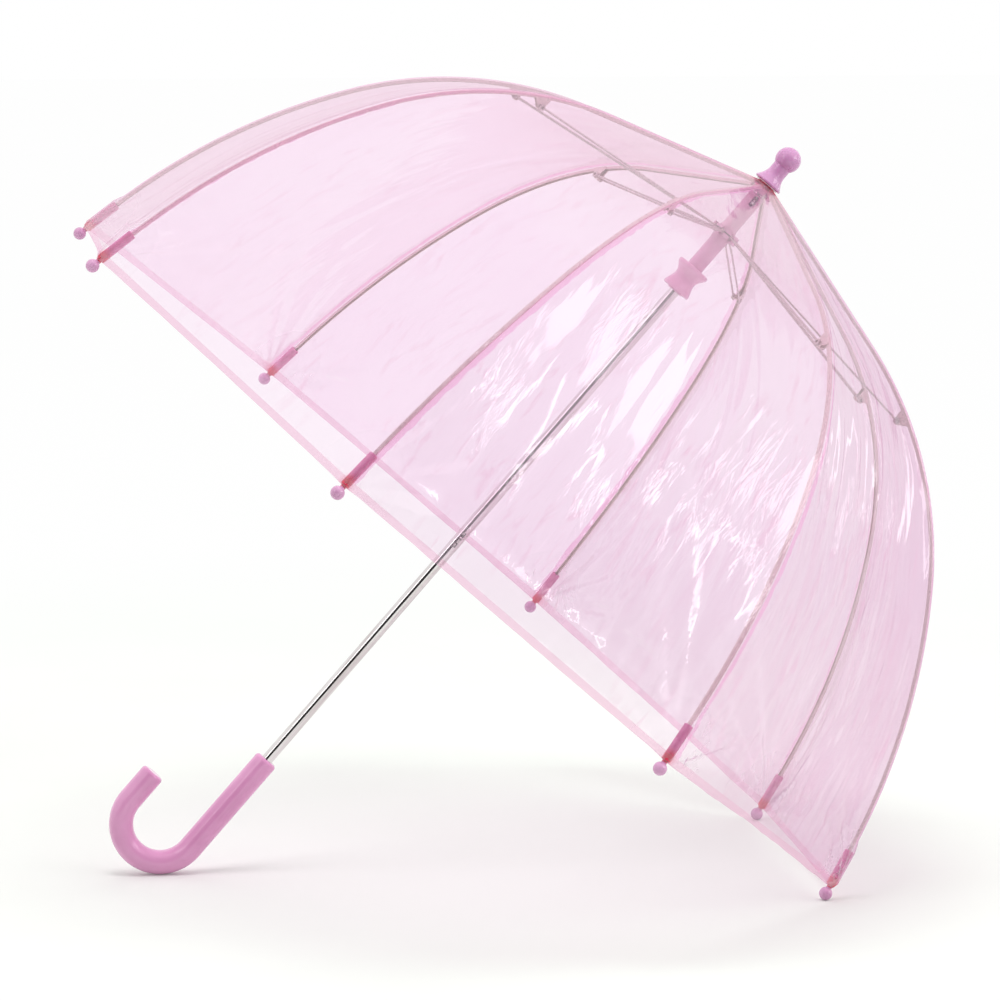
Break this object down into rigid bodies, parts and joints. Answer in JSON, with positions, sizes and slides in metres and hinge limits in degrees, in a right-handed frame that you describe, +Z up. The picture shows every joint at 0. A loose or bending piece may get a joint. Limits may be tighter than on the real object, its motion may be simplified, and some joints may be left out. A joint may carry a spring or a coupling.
{
  "type": "dome umbrella",
  "caption": "Clear pink children's dome umbrella with jointed ribs, a runner that folds the canopy along the shaft, a ball finial and a hook handle.",
  "frame": {"origin": "centre of the bounding box at floor level, in the pose the umbrella lies in on a floor", "axes": "+Z up from the floor, +X from the handle towards the canopy, +Y across; the part is a mirror image of itself about Y = 0"},
  "size_m": [0.5722, 0.6584, 0.5448],
  "materials": {
    "shaft": "bright plated tube",
    "handle": "glossy moulded pink",
    "finial": "glossy moulded lilac pink",
    "clear_washer": "clear pink disc",
    "notch": "moulded lilac pink",
    "wire": "drawn wire",
    "runner": "glossy moulded lilac pink",
    "runner_grip": "glossy moulded lilac pink",
    "spring": "spring steel",
    "rib": "grey coated steel channel",
    "bracket": "pressed plate",
    "rib_tip": "glossy moulded pink",
    "stretcher": "bent spring wire",
    "film": "clear pink film"
  },
  "bodies": {
    "shaft_set": {"shaft": "shaft", "handle": "handle", "finial": "finial", "canopy_washer": "clear_washer", "crown_notch": "notch", "crown_wire": "wire", "canopy_panel_1": "film", "canopy_panel_2": "film", "canopy_panel_3": "film", "canopy_panel_4": "film", "canopy_panel_5": "film", "canopy_panel_6": "film", "canopy_panel_7": "film", "canopy_panel_8": "film"},
    "runner_set": {"runner": "runner", "runner_grip": "runner_grip", "runner_wire": "wire"},
    "rib_upper_1": {"rib_upper_1": "rib", "rib_bracket_1": "bracket"},
    "rib_lower_1": {"rib_lower_1": "rib", "rib_tip_1": "rib_tip"},
    "stretcher_1": {"stretcher_1": "stretcher"},
    "rib_upper_2": {"rib_upper_2": "rib", "rib_bracket_2": "bracket"},
    "rib_lower_2": {"rib_lower_2": "rib", "rib_tip_2": "rib_tip"},
    "stretcher_2": {"stretcher_2": "stretcher"},
    "rib_upper_3": {"rib_upper_3": "rib", "rib_bracket_3": "bracket"},
    "rib_lower_3": {"rib_lower_3": "rib", "rib_tip_3": "rib_tip"},
    "stretcher_3": {"stretcher_3": "stretcher"},
    "rib_upper_4": {"rib_upper_4": "rib", "rib_bracket_4": "bracket"},
    "rib_lower_4": {"rib_lower_4": "rib", "rib_tip_4": "rib_tip"},
    "stretcher_4": {"stretcher_4": "stretcher"},
    "rib_upper_5": {"rib_upper_5": "rib", "rib_bracket_5": "bracket"},
    "rib_lower_5": {"rib_lower_5": "rib", "rib_tip_5": "rib_tip"},
    "stretcher_5": {"stretcher_5": "stretcher"},
    "rib_upper_6": {"rib_upper_6": "rib", "rib_bracket_6": "bracket"},
    "rib_lower_6": {"rib_lower_6": "rib", "rib_tip_6": "rib_tip"},
    "stretcher_6": {"stretcher_6": "stretcher"},
    "rib_upper_7": {"rib_upper_7": "rib", "rib_bracket_7": "bracket"},
    "rib_lower_7": {"rib_lower_7": "rib", "rib_tip_7": "rib_tip"},
    "stretcher_7": {"stretcher_7": "stretcher"},
    "rib_upper_8": {"rib_upper_8": "rib", "rib_bracket_8": "bracket"},
    "rib_lower_8": {"rib_lower_8": "rib", "rib_tip_8": "rib_tip"},
    "stretcher_8": {"stretcher_8": "stretcher"},
    "top_catch": {"top_spring": "spring"},
    "bottom_catch": {"bottom_spring": "spring"}
  },
  "joints": [
    {"name": "runner_slide", "type": "slide", "parent": "shaft_set", "child": "runner_set", "axis": [-0.6602, 0, -0.7511], "range_m": [0, 0.30827], "deforming": ["canopy_panel_1", "canopy_panel_2", "canopy_panel_3", "canopy_panel_4", "canopy_panel_5", "canopy_panel_6", "canopy_panel_7", "canopy_panel_8"]},
    {"name": "rib_upper_hinge_1", "type": "hinge", "parent": "shaft_set", "child": "rib_upper_1", "pos_m": [0.1889, 0.00276, 0.46657], "axis": [-0.2874, 0.9239, 0.2526], "range_deg": [0, 64.95]},
    {"name": "rib_lower_hinge_1", "type": "hinge", "parent": "rib_upper_1", "child": "rib_lower_1", "pos_m": [0.2838, 0.09501, 0.23718], "axis": [0.2874, -0.9239, -0.2526], "range_deg": [0, 41.04]},
    {"name": "stretcher_hinge_1", "type": "hinge", "parent": "runner_set", "child": "stretcher_1", "pos_m": [0.16259, 0.00314, 0.43524], "axis": [0.2874, -0.9239, -0.2526], "range_deg": [0, 92.58]},
    {"name": "rib_upper_hinge_2", "type": "hinge", "parent": "shaft_set", "child": "rib_upper_2", "pos_m": [0.18597, 0.00665, 0.46914], "axis": [-0.694, 0.3827, 0.6099], "range_deg": [0, 64.95]},
    {"name": "rib_lower_hinge_2", "type": "hinge", "parent": "rib_upper_2", "child": "rib_lower_2", "pos_m": [0.18288, 0.22937, 0.32588], "axis": [0.694, -0.3827, -0.6099], "range_deg": [0, 41.04]},
    {"name": "stretcher_hinge_2", "type": "hinge", "parent": "runner_set", "child": "stretcher_2", "pos_m": [0.15926, 0.00758, 0.43817], "axis": [0.694, -0.3827, -0.6099], "range_deg": [0, 92.58]},
    {"name": "rib_upper_hinge_3", "type": "hinge", "parent": "shaft_set", "child": "rib_upper_3", "pos_m": [0.18183, 0.00665, 0.47278], "axis": [-0.694, -0.3827, 0.6099], "range_deg": [0, 64.95]},
    {"name": "rib_lower_hinge_3", "type": "hinge", "parent": "rib_upper_3", "child": "rib_lower_3", "pos_m": [0.04015, 0.22937, 0.45132], "axis": [0.694, 0.3827, -0.6099], "range_deg": [0, 41.04]},
    {"name": "stretcher_hinge_3", "type": "hinge", "parent": "runner_set", "child": "stretcher_3", "pos_m": [0.15454, 0.00758, 0.44231], "axis": [0.694, 0.3827, -0.6099], "range_deg": [0, 92.58]},
    {"name": "rib_upper_hinge_4", "type": "hinge", "parent": "shaft_set", "child": "rib_upper_4", "pos_m": [0.1789, 0.00276, 0.47535], "axis": [-0.2874, -0.9239, 0.2526], "range_deg": [0, 64.95]},
    {"name": "rib_lower_hinge_4", "type": "hinge", "parent": "rib_upper_4", "child": "rib_lower_4", "pos_m": [-0.06077, 0.09501, 0.54001], "axis": [0.2874, 0.9239, -0.2526], "range_deg": [0, 41.04]},
    {"name": "stretcher_hinge_4", "type": "hinge", "parent": "runner_set", "child": "stretcher_4", "pos_m": [0.15121, 0.00314, 0.44524], "axis": [0.2874, 0.9239, -0.2526], "range_deg": [0, 92.58]},
    {"name": "rib_upper_hinge_5", "type": "hinge", "parent": "shaft_set", "child": "rib_upper_5", "pos_m": [0.1789, -0.00276, 0.47535], "axis": [0.2874, -0.9239, -0.2526], "range_deg": [0, 64.95]},
    {"name": "rib_lower_hinge_5", "type": "hinge", "parent": "rib_upper_5", "child": "rib_lower_5", "pos_m": [-0.06077, -0.09501, 0.54001], "axis": [-0.2874, 0.9239, 0.2526], "range_deg": [0, 41.04]},
    {"name": "stretcher_hinge_5", "type": "hinge", "parent": "runner_set", "child": "stretcher_5", "pos_m": [0.15121, -0.00314, 0.44524], "axis": [-0.2874, 0.9239, 0.2526], "range_deg": [0, 92.58]},
    {"name": "rib_upper_hinge_6", "type": "hinge", "parent": "shaft_set", "child": "rib_upper_6", "pos_m": [0.18183, -0.00665, 0.47278], "axis": [0.694, -0.3827, -0.6099], "range_deg": [0, 64.95]},
    {"name": "rib_lower_hinge_6", "type": "hinge", "parent": "rib_upper_6", "child": "rib_lower_6", "pos_m": [0.04015, -0.22937, 0.45132], "axis": [-0.694, 0.3827, 0.6099], "range_deg": [0, 41.04]},
    {"name": "stretcher_hinge_6", "type": "hinge", "parent": "runner_set", "child": "stretcher_6", "pos_m": [0.15454, -0.00758, 0.44231], "axis": [-0.694, 0.3827, 0.6099], "range_deg": [0, 92.58]},
    {"name": "rib_upper_hinge_7", "type": "hinge", "parent": "shaft_set", "child": "rib_upper_7", "pos_m": [0.18597, -0.00665, 0.46914], "axis": [0.694, 0.3827, -0.6099], "range_deg": [0, 64.95]},
    {"name": "rib_lower_hinge_7", "type": "hinge", "parent": "rib_upper_7", "child": "rib_lower_7", "pos_m": [0.18288, -0.22937, 0.32588], "axis": [-0.694, -0.3827, 0.6099], "range_deg": [0, 41.04]},
    {"name": "stretcher_hinge_7", "type": "hinge", "parent": "runner_set", "child": "stretcher_7", "pos_m": [0.15926, -0.00758, 0.43817], "axis": [-0.694, -0.3827, 0.6099], "range_deg": [0, 92.58]},
    {"name": "rib_upper_hinge_8", "type": "hinge", "parent": "shaft_set", "child": "rib_upper_8", "pos_m": [0.1889, -0.00276, 0.46657], "axis": [0.2874, 0.9239, -0.2526], "range_deg": [0, 64.95]},
    {"name": "rib_lower_hinge_8", "type": "hinge", "parent": "rib_upper_8", "child": "rib_lower_8", "pos_m": [0.2838, -0.09501, 0.23718], "axis": [-0.2874, -0.9239, 0.2526], "range_deg": [0, 41.04]},
    {"name": "stretcher_hinge_8", "type": "hinge", "parent": "runner_set", "child": "stretcher_8", "pos_m": [0.16259, -0.00314, 0.43524], "axis": [-0.2874, -0.9239, 0.2526], "range_deg": [0, 92.58]},
    {"name": "top_catch_press", "type": "slide", "parent": "shaft_set", "child": "top_catch", "axis": [0, 1, 0], "range_m": [0, 0.0012], "stiffness_N_per_m": 500, "springref_m": -0.001},
    {"name": "bottom_catch_press", "type": "slide", "parent": "shaft_set", "child": "bottom_catch", "axis": [0, 1, 0], "range_m": [0, 0.0012], "stiffness_N_per_m": 500, "springref_m": -0.001}
  ],
  "couplings": [
    {"joint": "rib_upper_hinge_1", "follows": "runner_slide", "rad_per_m": 3.6765},
    {"joint": "rib_lower_hinge_1", "follows": "runner_slide", "rad_per_m": 2.3227},
    {"joint": "stretcher_hinge_1", "follows": "runner_slide", "rad_per_m": 5.2409},
    {"joint": "rib_upper_hinge_2", "follows": "runner_slide", "rad_per_m": 3.6765},
    {"joint": "rib_lower_hinge_2", "follows": "runner_slide", "rad_per_m": 2.3227},
    {"joint": "stretcher_hinge_2", "follows": "runner_slide", "rad_per_m": 5.2409},
    {"joint": "rib_upper_hinge_3", "follows": "runner_slide", "rad_per_m": 3.6765},
    {"joint": "rib_lower_hinge_3", "follows": "runner_slide", "rad_per_m": 2.3227},
    {"joint": "stretcher_hinge_3", "follows": "runner_slide", "rad_per_m": 5.2409},
    {"joint": "rib_upper_hinge_4", "follows": "runner_slide", "rad_per_m": 3.6765},
    {"joint": "rib_lower_hinge_4", "follows": "runner_slide", "rad_per_m": 2.3227},
    {"joint": "stretcher_hinge_4", "follows": "runner_slide", "rad_per_m": 5.2409},
    {"joint": "rib_upper_hinge_5", "follows": "runner_slide", "rad_per_m": 3.6765},
    {"joint": "rib_lower_hinge_5", "follows": "runner_slide", "rad_per_m": 2.3227},
    {"joint": "stretcher_hinge_5", "follows": "runner_slide", "rad_per_m": 5.2409},
    {"joint": "rib_upper_hinge_6", "follows": "runner_slide", "rad_per_m": 3.6765},
    {"joint": "rib_lower_hinge_6", "follows": "runner_slide", "rad_per_m": 2.3227},
    {"joint": "stretcher_hinge_6", "follows": "runner_slide", "rad_per_m": 5.2409},
    {"joint": "rib_upper_hinge_7", "follows": "runner_slide", "rad_per_m": 3.6765},
    {"joint": "rib_lower_hinge_7", "follows": "runner_slide", "rad_per_m": 2.3227},
    {"joint": "stretcher_hinge_7", "follows": "runner_slide", "rad_per_m": 5.2409},
    {"joint": "rib_upper_hinge_8", "follows": "runner_slide", "rad_per_m": 3.6765},
    {"joint": "rib_lower_hinge_8", "follows": "runner_slide", "rad_per_m": 2.3227},
    {"joint": "stretcher_hinge_8", "follows": "runner_slide", "rad_per_m": 5.2409}
  ]
}
